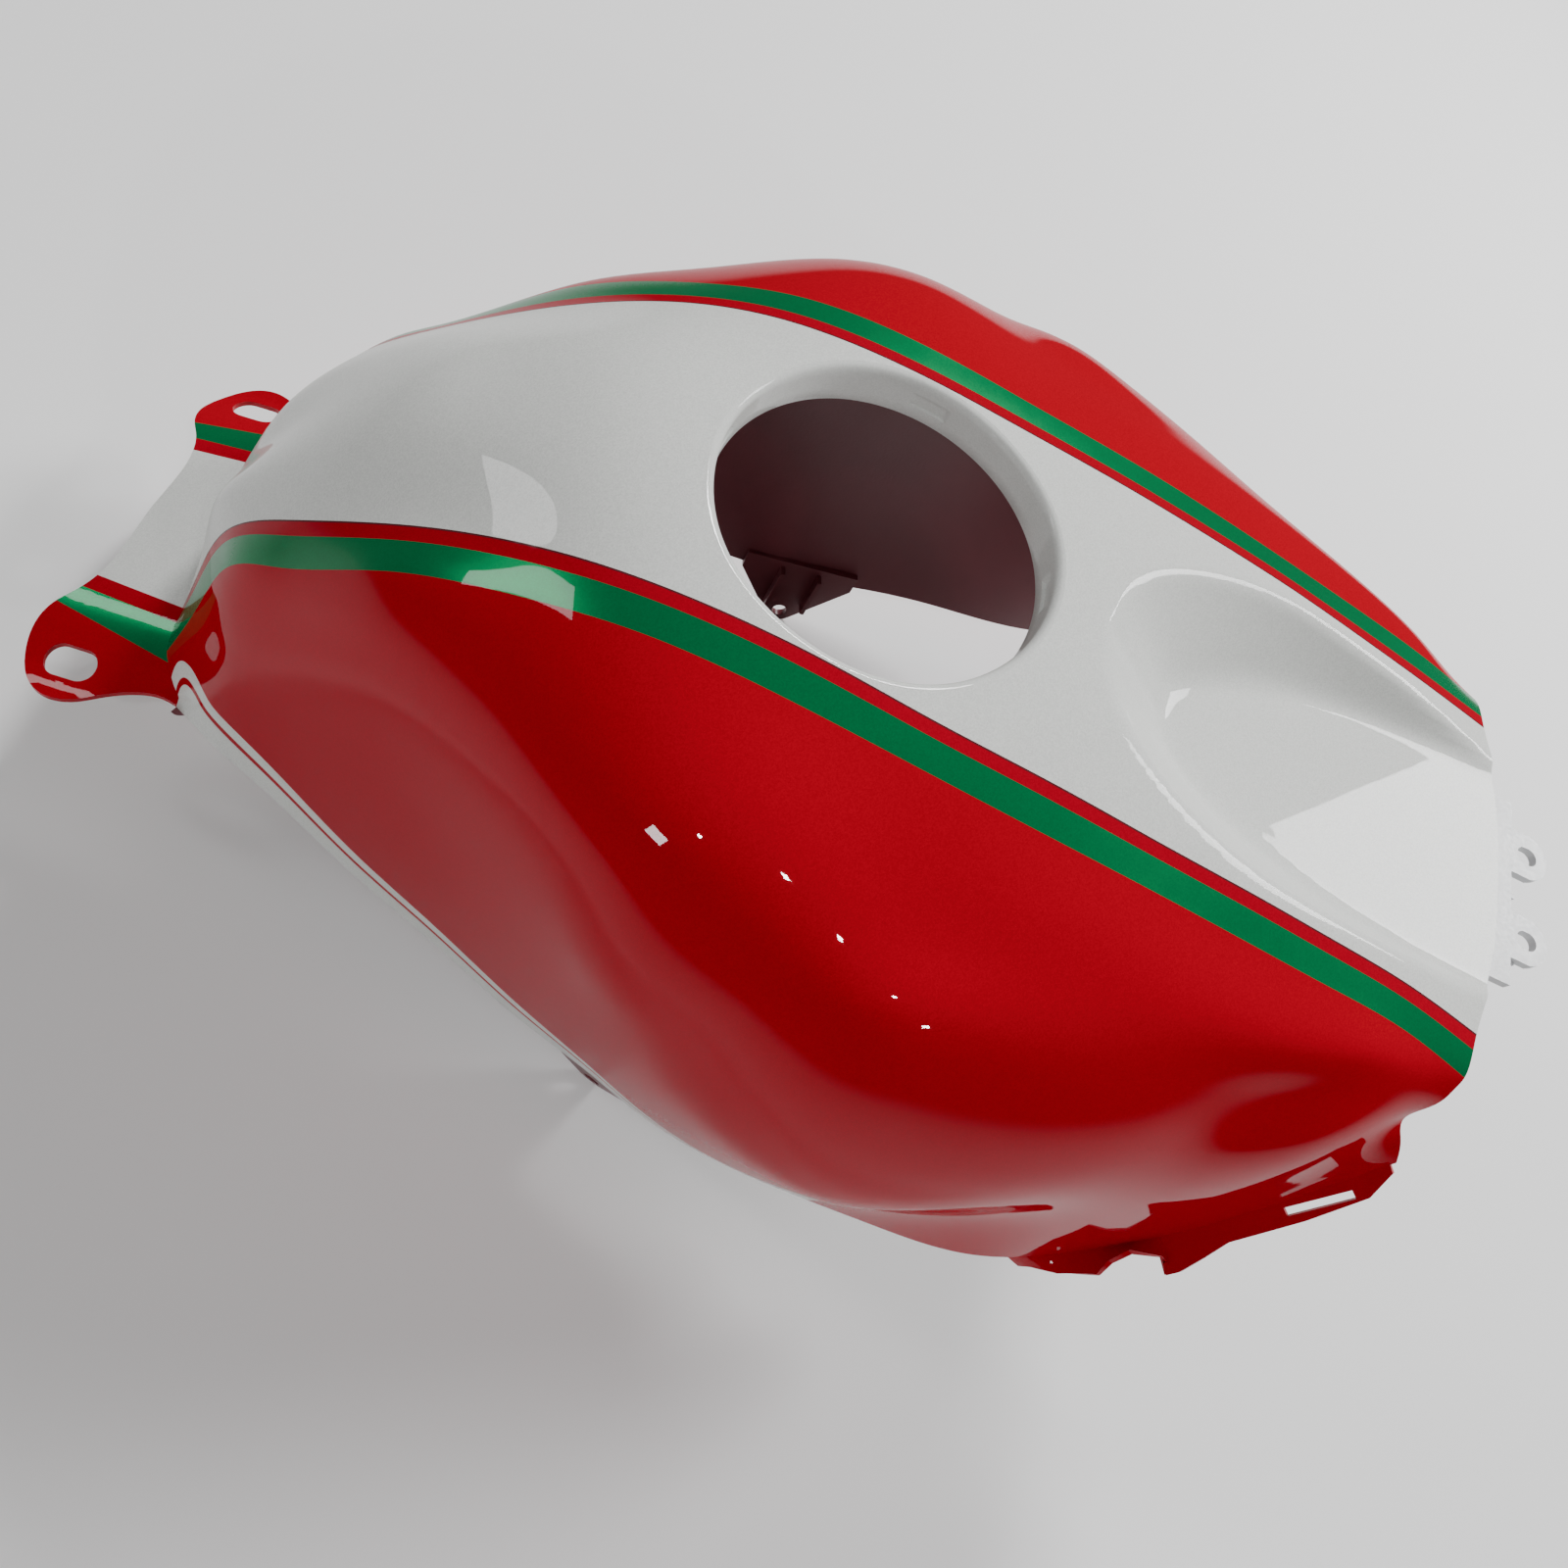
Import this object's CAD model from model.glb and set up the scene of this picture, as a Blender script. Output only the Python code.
import math

import bpy
import numpy as np
from mathutils import Matrix, Vector


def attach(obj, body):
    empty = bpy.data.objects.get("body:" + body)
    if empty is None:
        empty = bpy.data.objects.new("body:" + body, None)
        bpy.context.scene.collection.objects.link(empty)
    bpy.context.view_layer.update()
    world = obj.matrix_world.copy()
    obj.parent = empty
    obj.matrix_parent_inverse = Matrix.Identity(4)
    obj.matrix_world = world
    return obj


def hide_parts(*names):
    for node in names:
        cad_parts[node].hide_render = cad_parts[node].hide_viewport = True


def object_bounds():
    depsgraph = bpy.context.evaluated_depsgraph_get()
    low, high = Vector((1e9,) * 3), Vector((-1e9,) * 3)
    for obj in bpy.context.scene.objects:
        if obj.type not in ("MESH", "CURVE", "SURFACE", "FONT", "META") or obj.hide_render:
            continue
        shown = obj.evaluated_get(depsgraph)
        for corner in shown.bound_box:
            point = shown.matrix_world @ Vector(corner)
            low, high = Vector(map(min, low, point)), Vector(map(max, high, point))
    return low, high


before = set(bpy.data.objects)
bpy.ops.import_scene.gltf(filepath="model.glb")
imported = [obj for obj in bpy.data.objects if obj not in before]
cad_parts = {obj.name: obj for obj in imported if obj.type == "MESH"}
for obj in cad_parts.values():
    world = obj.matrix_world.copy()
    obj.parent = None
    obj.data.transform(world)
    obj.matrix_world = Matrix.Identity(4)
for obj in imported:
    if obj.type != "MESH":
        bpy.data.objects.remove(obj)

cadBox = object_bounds()


def deselectAll():
    bpy.ops.object.select_all(action="DESELECT")


def pick(obj):
    deselectAll()
    obj.select_set(True)
    bpy.context.view_layer.objects.active = obj


def applyModifier(obj, kind, **values):
    pick(obj)
    modifier = obj.modifiers.new(kind.title(), kind)
    for name, value in values.items():
        setattr(modifier, name, value)
    bpy.ops.object.modifier_apply(modifier=modifier.name)


def ownName(obj, name):
    obj.name = name
    obj.data.name = name


# ---- camera, floor and light
camera = {
    "place": (-0.04971, -0.27064, 0.29052),
    "right": (0.90121, 0.28501, 0.32648),
    "up": (-0.39675, 0.84571, 0.35688),
    "ahead": (0.17439, 0.45116, -0.87524),
    "lens": 26.06,
    "shift": (-0.0202, 0.0272),
}


def makeCamera():
    data = bpy.data.cameras.new("studioCamera")
    data.lens = camera["lens"]
    data.sensor_width = 36
    data.clip_start = 0.01
    data.shift_x, data.shift_y = camera["shift"]
    obj = bpy.data.objects.new("studioCamera", data)
    bpy.context.collection.objects.link(obj)
    turn = Matrix([camera["right"], camera["up"], [-v for v in camera["ahead"]]]).transposed()
    obj.matrix_world = Matrix.Translation(camera["place"]) @ turn.to_4x4()
    bpy.context.scene.camera = obj


studio = {
    "floorSize": 30,
    "floorColour": (0.93, 0.93, 0.93, 1),
    "worldColour": (1.0, 1.0, 1.0, 1),
    "worldStrength": 0.06,
}

lights = {  # name: place, aim, size along and across, watts
    "overheadLight": ((0.5, 2.3, 1.9), (0.05, 0, -0.1), 0.5, 0.5, 75),
    "frontWindow": ((1.55, 0.98, 1.13), (0.24, -0.02, -0.035), 0.55, 0.7, 38),
    "sideLight": ((-1.4, -2.4, 2.2), (0, -0.1, -0.15), 0.4, 0.4, 24),
    "rearLight": ((-2.2, 0.3, 1.3), (-0.1, 0, -0.1), 0.3, 0.9, 10),
    "smallSpotA": ((0.45, -0.75, 1.25), (0.1, -0.1, -0.05), 0.04, 0.04, 2),
    "smallSpotB": ((-0.25, -0.85, 1.15), (0.05, -0.12, -0.1), 0.04, 0.04, 2),
    "smallSpotC": ((0.75, -1.0, 0.75), (0.1, -0.1, -0.1), 0.05, 0.04, 2),
}


def makeLight(name, place, aim, along, across, watts):
    data = bpy.data.lights.new(name, "AREA")
    data.shape = "RECTANGLE"
    data.size, data.size_y, data.energy = along, across, watts
    obj = bpy.data.objects.new(name, data)
    bpy.context.collection.objects.link(obj)
    obj.location = place
    obj.rotation_euler = (Vector(aim) - Vector(place)).to_track_quat("-Z", "Y").to_euler()


def makeStudio():
    deselectAll()
    low = cadBox[0][2]
    bpy.ops.mesh.primitive_plane_add(size=studio["floorSize"], location=(0, 0, low))
    floor = bpy.context.object
    ownName(floor, "studioFloor")
    paint = bpy.data.materials.new("studioFloor")
    paint.use_nodes = True
    shader = paint.node_tree.nodes["Principled BSDF"]
    shader.inputs["Base Color"].default_value = studio["floorColour"]
    shader.inputs["Roughness"].default_value = 0.9
    floor.data.materials.append(paint)
    for name, values in lights.items():
        makeLight(name, *values)
    world = bpy.data.worlds.new("studioWorld")
    world.use_nodes = True
    background = world.node_tree.nodes["Background"]
    background.inputs["Color"].default_value = studio["worldColour"]
    background.inputs["Strength"].default_value = studio["worldStrength"]
    bpy.context.scene.world = world


makeCamera()
makeStudio()
print("camera and studio ready")


# ---- the skin's lines, in millimetres: stations from the rear foot to the front edge, and in
# each one points from the middle outwards to the lower edge
skinLines = {
    "stations": [
        [(-259, 0, -206), (-257, 22, -205), (-252, 44, -204), (-248, 64, -206), (-244, 70, -207),
         (-240, 75, -208), (-236, 79, -207), (-233, 82, -205), (-231, 86, -202), (-229, 89, -198)],
        [(-250, 0, -176), (-246, 24, -168), (-237, 46, -160), (-230, 61, -161), (-225, 71, -167),
         (-222, 77, -174), (-221, 82, -183), (-220, 86, -190), (-220, 89, -196), (-221, 92, -202)],
        [(-240, 0, -144), (-235, 24, -130), (-220, 47, -117), (-212, 62, -116), (-206, 73, -126),
         (-204, 80, -140), (-204, 86, -158), (-205, 90, -175), (-206, 93, -191), (-208, 97, -206)],
        [(-190, 0, -66), (-190, 27, -70), (-188, 51, -81), (-184, 67, -87), (-180, 79, -98),
         (-178, 87, -113), (-177, 92, -135), (-177, 96, -162), (-178, 101, -191), (-180, 105, -216)],
        [(-144, 0, -29), (-144, 28, -33), (-144, 56, -45), (-142, 73, -48), (-140, 88, -57),
         (-138, 98, -74), (-137, 103, -102), (-137, 108, -140), (-138, 114, -188), (-140, 118, -231)],
        [(-100, 0, -7), (-100, 30, -10), (-100, 60.5, -18), (-99, 77.5, -22), (-98, 98, -31),
         (-97, 115, -49), (-96, 122, -82), (-95, 125, -125), (-95, 129, -180), (-95, 132, -239)],
        [(-55, 0, 0), (-55, 32, -1), (-55, 64, -3.5), (-55, 81, -6), (-54, 113, -15),
         (-53, 138, -32), (-52, 148, -62), (-51, 149, -110), (-50, 148, -175), (-50, 147, -246)],
        [(-10, 0, 1.5), (-10, 33, 1.2), (-10, 66, 0), (-10, 83.5, -2.4), (-10, 116, -8),
         (-12, 144, -22), (-14, 167, -56), (-12, 171, -105), (-10, 166, -175), (-8, 158, -252)],
        [(35, 0, 1), (35, 34, 0.5), (35, 68, -2), (35, 85, -4.4), (35, 112, -11),
         (36, 139, -20), (36, 160, -31), (34, 187, -80), (32, 186, -150), (30, 170, -252)],
        [(80, 0, -0.5), (80, 35, -1), (80, 69, -4.2), (80, 86.2, -7), (80, 110, -12),
         (80, 131.5, -19), (80, 152, -27), (80, 196, -95), (78, 194, -150), (78, 178, -244)],
        [(125, 0, -4), (125, 35, -5), (125, 70, -8), (125, 86.6, -10.7), (125, 106, -14),
         (125, 124.5, -20), (125, 144, -31), (126, 181.5, -82), (130, 184, -140), (136, 181.5, -230)],
        [(165, 0, -9), (165, 35, -9.5), (165, 70.2, -12), (165, 86.7, -15.2), (165, 103, -18),
         (165, 118.5, -23), (165, 135, -37), (164, 162, -70), (172, 172, -130), (182, 182, -208)],
        [(205, 0, -14), (205, 35, -14.5), (205, 70, -17.5), (205, 86.6, -20.2), (205, 99, -22),
         (205, 110.5, -26), (203, 124, -42), (198, 146.5, -67), (210, 159, -120), (225, 167, -188)],
        [(240, 0, -19), (240, 35, -20), (240, 70, -23), (240, 86.5, -25.4), (240, 94, -26.5),
         (240, 100, -28.5), (237, 112, -38), (233, 130, -55), (241, 140, -90), (250, 150, -138)],
        [(291, 0, -26), (289, 36, -28), (282, 72, -32), (281, 89, -36), (280, 93, -39),
         (279, 97, -43), (276, 101, -48), (272, 106, -55), (276, 112, -60), (282, 118, -68)],
    ],
    "rowsPerGap": 16,
    "columnsPerGap": (12, 12, 6, 8, 8, 9, 9, 9, 9),
    "ease": 0.75,
}


def smoothValues(places, values, wanted):
    count = len(places)
    gaps = np.diff(places)
    matrix = np.eye(count)
    right = np.zeros(values.shape)
    for i in range(1, count - 1):
        matrix[i, i - 1:i + 2] = gaps[i - 1], 2 * (gaps[i - 1] + gaps[i]), gaps[i]
        right[i] = 6 * ((values[i + 1] - values[i]) / gaps[i] - (values[i] - values[i - 1]) / gaps[i - 1])
    bends = np.linalg.solve(matrix, right.reshape(count, -1)).reshape(values.shape)
    spans = np.clip(np.searchsorted(places, wanted) - 1, 0, count - 2)
    extra = (1,) * (values.ndim - 1)
    gap = gaps[spans].reshape(-1, *extra)
    a = (places[spans + 1] - wanted).reshape(-1, *extra) / gap
    b = 1 - a
    bend = (a**3 - a) * bends[spans] + (b**3 - b) * bends[spans + 1]
    return a * values[spans] + b * values[spans + 1] + bend * gap**2 / 6


def runningLength(points, ease):
    steps = np.linalg.norm(np.diff(points, axis=0), axis=1)**ease
    return np.concatenate([[0], np.cumsum(steps)])


def makeSkinGrid():
    half = np.array(skinLines["stations"], float)
    ease = skinLines["ease"]
    along = np.mean([runningLength(half[:, k], ease) for k in range(half.shape[1])], axis=0)
    stations = np.arange(len(half))
    wanted = np.arange(0, len(half) - 1 + 1e-9, 1 / skinLines["rowsPerGap"])
    rowPlaces = np.interp(wanted, stations, along)
    rows = smoothValues(along, half, rowPlaces)
    last = len(skinLines["columnsPerGap"])
    guides = [0.0]
    for k, parts in enumerate(skinLines["columnsPerGap"]):
        guides += list(k + np.arange(1, parts + 1) / parts)
    guides = np.array([-g for g in guides[:0:-1]] + guides)
    grid = []
    for row in rows:
        whole = np.vstack([row[:0:-1] * (1, -1, 1), row])
        across = runningLength(whole, ease)
        grid.append(smoothValues(across, whole, np.interp(guides, np.arange(-last, last + 1), across)))
    return np.array(grid), guides


# ---- scoop: half outlines of its floor and of its brim, from the rear tip forwards
scoop = {
    "floorOutline": [(128, 0), (131, 12), (141, 22), (166, 35), (202, 45), (244, 50), (315, 54)],
    "brimOutline": [(80, 0), (84, 24), (99, 46), (145, 74), (202, 82), (244, 85), (315, 88)],
    "floorHeight": -32,
    "brimHeight": 4,
    "brimRounding": 1.6,
    "footRounding": 5.0,
    "levels": 40,
    "lowestShare": -0.25,
    "highestShare": 1.2,
    "linePoints": 200,
    "rearmost": 60,
    "widest": 110,
}


def denseOutline(points):
    points = np.array(points, float)
    whole = np.vstack([points[:0:-1] * (1, -1), points])
    places = runningLength(whole, 1)
    middle = places[len(points) - 1]
    return smoothValues(places, whole, np.linspace(middle, places[-1], scoop["linePoints"]))


def softMin(a, b, size):
    h = np.clip(size - np.abs(a - b), 0, None) / size
    return np.minimum(a, b) - h * h * size / 4


def sinkScoop(grid):
    floorLine, brimLine = denseOutline(scoop["floorOutline"]), denseOutline(scoop["brimOutline"])
    shares = np.linspace(scoop["lowestShare"], scoop["highestShare"], scoop["levels"])
    x, y, z = grid[..., 0], np.abs(grid[..., 1]), grid[..., 2]
    near = np.argwhere((x > scoop["rearmost"]) & (y < scoop["widest"]))
    rise = scoop["brimHeight"] - scoop["floorHeight"]
    lines = [floorLine + share * (brimLine - floorLine) for share in shares]
    for i, j in near:
        px, py = x[i, j], y[i, j]
        widths = []
        for line in lines:
            tip = line[0, 0]
            widths.append(px - tip if px < tip else np.interp(px, line[:, 0], line[:, 1]))
        share = np.interp(py, widths, shares)
        wall = scoop["floorHeight"] + rise * share
        pan = -softMin(-wall, np.full(1, -scoop["floorHeight"]), scoop["footRounding"])[0]
        z[i, j] = softMin(z[i, j], pan, scoop["brimRounding"])
    return grid


# ---- tank shell
shell = {
    "wall": 0.003,
    "openingRadius": 0.0655,
    "smoothAngle": 40,
}


def setUvMap(mesh, name, values):
    layer = mesh.uv_layers.new(name=name)
    corners = np.empty(len(mesh.loops), np.int32)
    mesh.loops.foreach_get("vertex_index", corners)
    layer.data.foreach_set("uv", values[corners].astype(np.float32).ravel())


def makeShell(grid, guides):
    fromEdge = np.zeros(grid.shape[:2])
    for half, flip in ((slice(None), 1), (slice(None, None, -1), -1)):
        steps = np.linalg.norm(np.diff(grid[:, half], axis=1), axis=2)
        lengths = np.concatenate([np.zeros((len(grid), 1)), np.cumsum(steps, axis=1)], axis=1)
        side = lengths[:, half]
        right = guides < 0 if flip == 1 else guides >= 0
        fromEdge[:, right] = side[:, right]
    grid = sinkScoop(grid.copy())
    rows, columns = grid.shape[:2]
    deselectAll()
    bpy.ops.mesh.primitive_grid_add(x_subdivisions=rows - 1, y_subdivisions=columns - 1, size=1)
    obj = bpy.context.object
    ownName(obj, "tankShell")
    mesh = obj.data
    while mesh.uv_layers:
        mesh.uv_layers.remove(mesh.uv_layers[0])
    order = grid.transpose(1, 0, 2).reshape(-1, 3) / 1000
    mesh.vertices.foreach_set("co", order.astype(np.float32).ravel())
    place = np.tile(np.abs(guides)[:, None], (1, rows)).ravel() / 10
    station = np.tile(np.linspace(0, 1, rows)[None], (columns, 1)).ravel()
    setUvMap(mesh, "paintLines", np.stack([place, station], axis=1))
    setUvMap(mesh, "edgeLines", np.stack([fromEdge.T.ravel() / 100, station], axis=1))
    mesh.update()
    mesh.materials.append(stripedPaint())
    mesh.materials.append(insidePlastic)
    applyModifier(obj, "SOLIDIFY", thickness=shell["wall"], offset=-1, use_even_offset=True,
                  material_offset=1, material_offset_rim=1)
    return obj


def cutOpening(obj):
    deselectAll()
    bpy.ops.mesh.primitive_cylinder_add(vertices=160, radius=shell["openingRadius"], depth=0.2)
    cutter = bpy.context.object
    applyModifier(obj, "BOOLEAN", operation="DIFFERENCE", solver="EXACT", object=cutter)
    bpy.data.objects.remove(cutter)
    pick(obj)
    bpy.ops.object.shade_smooth_by_angle(angle=math.radians(shell["smoothAngle"]))


# ---- paints
paints = {
    "white": (0.68, 0.69, 0.665, 1),
    "red": (0.38, 0.0, 0.010, 1),
    "pinstripe": (0.36, 0.0, 0.012, 1),
    "green": (0.0, 0.17, 0.055, 1),
    "darkEdge": (0.10, 0.015, 0.02, 1),
    "inside": (0.17, 0.035, 0.045, 1),
    "whiteEdge": 0.2,
    "pinstripeEdge": 0.232,
    "greenEdge": 0.3,
    "flakeScale": 2200,
    "stripedFlakes": 0.22,
    "plainFlakes": 0.15,
    "greenMetal": 0.35,
    "lowerOuter": (0.0, 0.13),
    "lowerInner": (0.16, 0.23),
    "lowerFrom": 0.0,
    "lowerTo": 0.68,
}


def addNode(tree, kind, inputs=(), **values):
    node = tree.nodes.new(kind)
    for name, value in values.items():
        setattr(node, name, value)
    for key, value in dict(inputs).items():
        if isinstance(value, bpy.types.NodeSocket):
            tree.links.new(value, node.inputs[key])
        else:
            node.inputs[key].default_value = value
    return node


def calculate(tree, operation, a, b=0.0, c=0.0):
    return addNode(tree, "ShaderNodeMath", {0: a, 1: b, 2: c}, operation=operation).outputs[0]


def within(tree, value, low, high):
    above = calculate(tree, "GREATER_THAN", value, low)
    below = calculate(tree, "LESS_THAN", value, high)
    return calculate(tree, "MULTIPLY", above, below)


def mixColour(tree, share, a, b):
    node = addNode(tree, "ShaderNodeMix", {0: share, 6: a, 7: b}, data_type="RGBA")
    return node.outputs[2]


def newPaint(name):
    paint = bpy.data.materials.new(name)
    paint.use_nodes = True
    return paint, paint.node_tree, paint.node_tree.nodes["Principled BSDF"]


def finishPaint(tree, shader, colour, metal, flakes):
    coords = addNode(tree, "ShaderNodeTexCoord").outputs["Object"]
    flake = addNode(tree, "ShaderNodeTexVoronoi", {"Vector": coords, "Scale": paints["flakeScale"]})
    bright = calculate(tree, "MULTIPLY_ADD", flake.outputs["Color"], flakes, 0.9)
    toned = addNode(tree, "ShaderNodeVectorMath", {0: colour, "Scale": bright}, operation="SCALE")
    tree.links.new(toned.outputs[0], shader.inputs["Base Color"])
    if metal is not None:
        tree.links.new(metal, shader.inputs["Metallic"])
    peel = addNode(tree, "ShaderNodeTexNoise", {"Vector": coords, "Scale": 90.0, "Detail": 2.0})
    rough = calculate(tree, "MULTIPLY_ADD", peel.outputs["Fac"], 0.06, 0.22)
    tree.links.new(rough, shader.inputs["Roughness"])
    bump = addNode(tree, "ShaderNodeBump",
                   {"Strength": 0.02, "Distance": 0.0005, "Height": peel.outputs["Fac"]})
    tree.links.new(bump.outputs[0], shader.inputs["Coat Normal"])
    shader.inputs["Specular IOR Level"].default_value = 0.0
    shader.inputs["Coat Weight"].default_value = 0.45
    shader.inputs["Coat IOR"].default_value = 1.45
    shader.inputs["Coat Roughness"].default_value = 0.02


def stripedPaint():
    paint, tree, shader = newPaint("stripedPaint")
    lines = addNode(tree, "ShaderNodeUVMap", uv_map="paintLines")
    edges = addNode(tree, "ShaderNodeUVMap", uv_map="edgeLines")
    line = addNode(tree, "ShaderNodeSeparateXYZ", {0: lines.outputs[0]})
    edge = addNode(tree, "ShaderNodeSeparateXYZ", {0: edges.outputs[0]})
    place, station, fromEdge = line.outputs[0], line.outputs[1], edge.outputs[0]
    white = calculate(tree, "LESS_THAN", place, paints["whiteEdge"])
    dark = within(tree, place, paints["whiteEdge"] - 0.0005, paints["whiteEdge"] + 0.003)
    pinstripe = within(tree, place, paints["whiteEdge"], paints["pinstripeEdge"])
    green = within(tree, place, paints["pinstripeEdge"], paints["greenEdge"])
    lowerLine = calculate(tree, "ADD", within(tree, fromEdge, *paints["lowerOuter"]),
                          within(tree, fromEdge, *paints["lowerInner"]))
    stretch = within(tree, station, paints["lowerFrom"], paints["lowerTo"])
    lowerLine = calculate(tree, "MULTIPLY", lowerLine, stretch)
    allWhite = calculate(tree, "MAXIMUM", white, lowerLine)
    colour = mixColour(tree, allWhite, paints["red"], paints["white"])
    colour = mixColour(tree, pinstripe, colour, paints["pinstripe"])
    colour = mixColour(tree, green, colour, paints["green"])
    colour = mixColour(tree, dark, colour, paints["darkEdge"])
    metal = calculate(tree, "MULTIPLY", green, paints["greenMetal"])
    finishPaint(tree, shader, colour, metal, paints["stripedFlakes"])
    return paint


neckLines = {  # the same bands on the neck, as half widths at its rear and its front
    "rearX": -0.294,
    "frontX": -0.251,
    "white": (0.0398, 0.043),
    "pinstripe": (0.0473, 0.0505),
    "green": (0.0586, 0.067),
}


def neckPaint():
    paint, tree, shader = newPaint("neckPaint")
    coords = addNode(tree, "ShaderNodeTexCoord").outputs["Object"]
    parts = addNode(tree, "ShaderNodeSeparateXYZ", {0: coords})
    away = calculate(tree, "ABSOLUTE", parts.outputs[1])
    colour = paints["red"]
    green = None
    for name in ("green", "pinstripe", "white"):
        rear, front = neckLines[name]
        ramp = addNode(tree, "ShaderNodeMapRange", {0: parts.outputs[0], 1: neckLines["rearX"],
                       2: neckLines["frontX"], 3: rear, 4: front}, clamp=False)
        inside = calculate(tree, "LESS_THAN", away, ramp.outputs[0])
        colour = mixColour(tree, inside, colour, paints[name])
        green = inside if name == "green" else calculate(tree, "SUBTRACT", green, inside)
        if name == "pinstripe":
            metal = calculate(tree, "MULTIPLY", green, paints["greenMetal"])
    finishPaint(tree, shader, colour, metal, paints["stripedFlakes"])
    return paint


def plainPaint(name, colour):
    paint, tree, shader = newPaint(name)
    base = addNode(tree, "ShaderNodeRGB")
    base.outputs[0].default_value = colour
    finishPaint(tree, shader, base.outputs[0], None, paints["plainFlakes"])
    return paint


def mouldedPlastic(name, colour, gloss):
    paint, tree, shader = newPaint(name)
    coords = addNode(tree, "ShaderNodeTexCoord").outputs["Object"]
    cloud = addNode(tree, "ShaderNodeTexNoise", {"Vector": coords, "Scale": 14.0, "Detail": 4.0})
    grain = addNode(tree, "ShaderNodeTexNoise", {"Vector": coords, "Scale": 700.0, "Detail": 2.0})
    darker = tuple(0.72 * c for c in colour[:3]) + (1,)
    tree.links.new(mixColour(tree, cloud.outputs["Fac"], darker, colour), shader.inputs["Base Color"])
    rough = calculate(tree, "MULTIPLY_ADD", grain.outputs["Fac"], 0.2, gloss)
    tree.links.new(rough, shader.inputs["Roughness"])
    bump = addNode(tree, "ShaderNodeBump",
                   {"Strength": 0.15, "Distance": 0.0003, "Height": grain.outputs["Fac"]})
    tree.links.new(bump.outputs[0], shader.inputs["Normal"])
    return paint


insidePlastic = mouldedPlastic("insidePlastic", paints["inside"], 0.3)
palePlastic = mouldedPlastic("palePlastic", (0.62, 0.63, 0.64, 1), 0.25)
redPaint = plainPaint("redPaint", paints["red"])
whitePaint = plainPaint("whitePaint", paints["white"])

skinGrid, skinGuides = makeSkinGrid()
tankShell = makeShell(skinGrid, skinGuides)
print("tank shell skin made:", len(tankShell.data.polygons), "faces")


# ---- filler collar, rounded over from the skin into the opening
collar = {
    "outerRadius": 0.0655,
    "innerRadius": 0.0625,
    "depth": 0.017,
    "rounding": 0.003,
    "roundingSteps": 6,
    "around": 360,
    "pocketWidth": 0.014,
    "pocketHeight": 0.006,
    "pocketDepth": 0.0012,
    "pocketMiddle": -0.0085,
    "pocketTurns": (6, 90, 174, 270),
    "sharpness": 0.0001,
    "rimGap": 0.0004,
    "backDrop": 0.0032,
    "footChamfer": 0.0005,
    "smoothAngle": 50,
}


def makeCollar(skin):
    deselectAll()
    radius = collar["outerRadius"]
    bpy.ops.mesh.primitive_circle_add(vertices=collar["around"], radius=radius, fill_type="NOTHING")
    obj = bpy.context.object
    ownName(obj, "fillerCollar")
    heights = []
    for vertex in obj.data.vertices:
        aside = Vector((vertex.co.x, vertex.co.y, 0)).normalized() * (radius + collar["rimGap"])
        hit, place, normal, index = skin.ray_cast(Vector((aside.x, aside.y, 0.1)), Vector((0, 0, -1)))
        heights.append(place.z)
    profile = []
    for k in range(1, collar["roundingSteps"] + 1):
        turn = math.pi / 2 * k / collar["roundingSteps"]
        inwards = collar["rounding"] * math.sin(turn)
        profile.append((radius - inwards, -collar["rounding"] * (1 - math.cos(turn))))
    depth = -collar["depth"]
    inner = collar["innerRadius"]
    pocketRings = []
    for edge in (collar["pocketHeight"] / 2, -collar["pocketHeight"] / 2):
        for side in (collar["sharpness"], -collar["sharpness"]):
            if abs(edge + side) < collar["pocketHeight"] / 2:
                pocketRings.append(len(profile) + 1)
            profile.append((inner, collar["pocketMiddle"] + edge + side))
    chamfer = collar["footChamfer"]
    profile += [(inner, depth + chamfer), (inner + chamfer, depth), (radius, depth)]
    bpy.ops.object.mode_set(mode="EDIT")
    bpy.ops.mesh.select_all(action="SELECT")
    last = radius
    for wide, drop in profile:
        bpy.ops.mesh.extrude_edges_move()
        bpy.ops.transform.resize(value=(wide / last, wide / last, 1))
        last = wide
    bpy.ops.mesh.extrude_edges_move()
    bpy.ops.object.mode_set(mode="OBJECT")
    count = collar["around"]
    drops = [0] + [drop for wide, drop in profile] + ["back"]
    for i, vertex in enumerate(obj.data.vertices):
        ring, spot = divmod(i, count)
        top = heights[spot]
        drop = drops[ring]
        if drop == "back":
            vertex.co.z = top - collar["backDrop"]
        elif ring > collar["roundingSteps"]:
            vertex.co.z = drop
        else:
            vertex.co.z = top + drop
        turn = math.atan2(vertex.co.y, vertex.co.x)
        turns = [turn - math.radians(middle) for middle in collar["pocketTurns"]]
        away = min(abs(math.remainder(value, math.tau)) for value in turns)
        if ring in pocketRings and away * inner < collar["pocketWidth"] / 2:
            vertex.co.xy *= (inner + collar["pocketDepth"]) / inner
    bpy.ops.object.mode_set(mode="EDIT")
    bpy.ops.mesh.select_all(action="SELECT")
    bpy.ops.mesh.normals_make_consistent(inside=False)
    bpy.ops.object.mode_set(mode="OBJECT")
    bpy.ops.object.shade_smooth_by_angle(angle=math.radians(collar["smoothAngle"]))
    return obj


fillerCollar = makeCollar(tankShell)
fillerCollar.data.materials.append(whitePaint)
cutOpening(tankShell)
print("opening and collar made")


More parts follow.
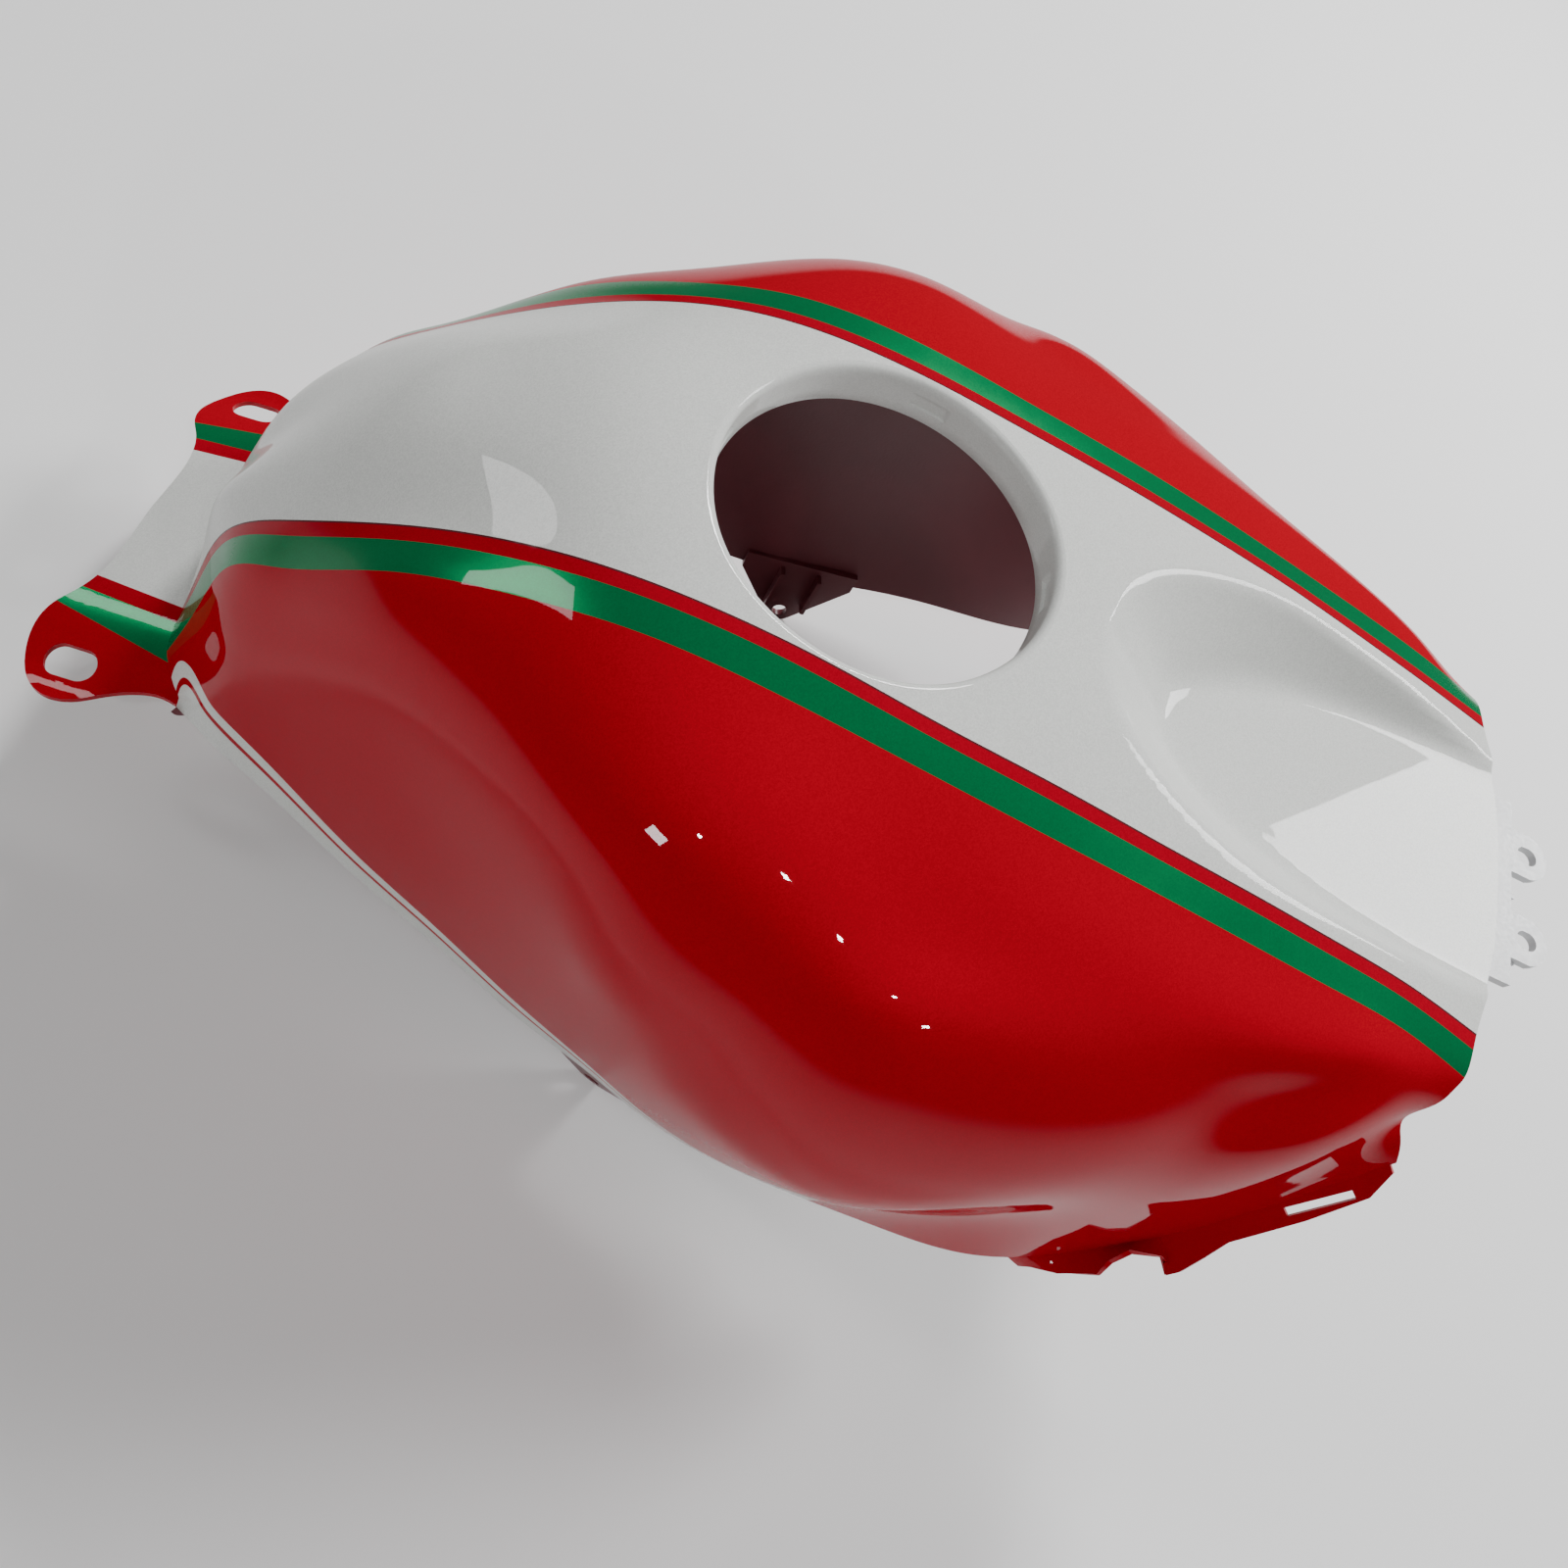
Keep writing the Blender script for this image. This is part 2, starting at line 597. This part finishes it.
# ---- lower rails: toothed flanges under the front of the skirt; outline and slot in millimetres,
# as distance along the skirt edge and reach out from it
rail = {
    "firstStation": 11.333,
    "planeStation": 11.667,
    "outline": [(-16, 0), (-10, 2), (1, 8.5), (19, 13.5), (27, 9.5), (38, 7.5), (50, 12.5), (51, 15.5),
                (49, 20.5), (55, 20.5), (67, 17.5), (81, 13.5), (114, 12.5), (141, 10), (153, 3.5)],
    "slot": (108, 136, 5.5, 9),
    "thickness": 0.0025,
    "intoWall": 1.5,
    "stepsPerSpan": 12,
    "columns": 4,
}


def unit(vector):
    return vector / np.linalg.norm(vector)


def makeRail(grid, side, name):
    rows = skinLines["rowsPerGap"]
    edge = grid[round(rail["firstStation"] * rows):, -1] * (1, side, 1)
    start = grid[round(rail["planeStation"] * rows), -1] * (1, side, 1)
    along = unit(edge[-1] - start)
    out = np.array((1, side, 0))
    out = unit(out - out @ along * along)
    corners = np.array(rail["outline"], float)
    spans = np.linspace(0, len(corners) - 1, rail["stepsPerSpan"] * (len(corners) - 1) + 1)
    u, v = (np.interp(spans, np.arange(len(corners)), corners[:, k]) for k in (0, 1))
    outer = start + u[:, None] * along + v[:, None] * out
    travelled = (edge - start) @ along
    inner = np.stack([np.interp(u, travelled, edge[:, k]) for k in range(3)], axis=1)
    inner = inner - rail["intoWall"] * np.array((0, side, 0))
    shares = np.linspace(0, 1, rail["columns"])[:, None, None]
    points = (inner + shares * (outer - inner)) / 1000
    deselectAll()
    bpy.ops.mesh.primitive_grid_add(x_subdivisions=len(u) - 1, y_subdivisions=rail["columns"] - 1, size=1)
    obj = bpy.context.object
    ownName(obj, name)
    obj.data.vertices.foreach_set("co", points.reshape(-1).astype(np.float32))
    obj.data.update()
    obj.data.materials.append(redPaint)
    applyModifier(obj, "SOLIDIFY", thickness=rail["thickness"], offset=0)
    near, far, low, high = rail["slot"]
    middle = start + (near + far) / 2 * along + (low + high) / 2 * out
    bpy.ops.mesh.primitive_cube_add(size=0.001)
    cutter = bpy.context.object
    turn = Matrix([along, out, np.cross(along, out)]).transposed().to_4x4()
    size = Matrix.Diagonal((far - near, high - low, 30, 1))
    cutter.matrix_world = Matrix.Translation(middle / 1000) @ turn @ size
    applyModifier(obj, "BOOLEAN", operation="DIFFERENCE", solver="EXACT", object=cutter)
    bpy.data.objects.remove(cutter)
    pick(obj)
    bpy.ops.object.shade_smooth_by_angle(angle=math.radians(shell["smoothAngle"]))
    return obj


leftRail = makeRail(skinGrid, 1, "leftLowerRail")
rightRail = makeRail(skinGrid, -1, "rightLowerRail")
print("lower rails made")

ownPieces = (
    (tankShell, "tank_shell", "painted_shell"),
    (fillerCollar, "filler_collar", "white_paint"),
    (leftRail, "left_lower_rail", "painted_shell"),
    (rightRail, "right_lower_rail", "painted_shell"),
)
for obj, node, slot in ownPieces:
    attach(obj, "root")
    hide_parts(node)


# ---- pieces kept as they come, with their finishes
finishes = {
    "rear_saddle": neckPaint(),
    "front_bracket": palePlastic,
    "left_knee_tab": insidePlastic,
    "right_knee_tab": insidePlastic,
}
for node, paint in finishes.items():
    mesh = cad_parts[node].data
    mesh.materials.clear()
    mesh.materials.append(paint)
print("finishes set")
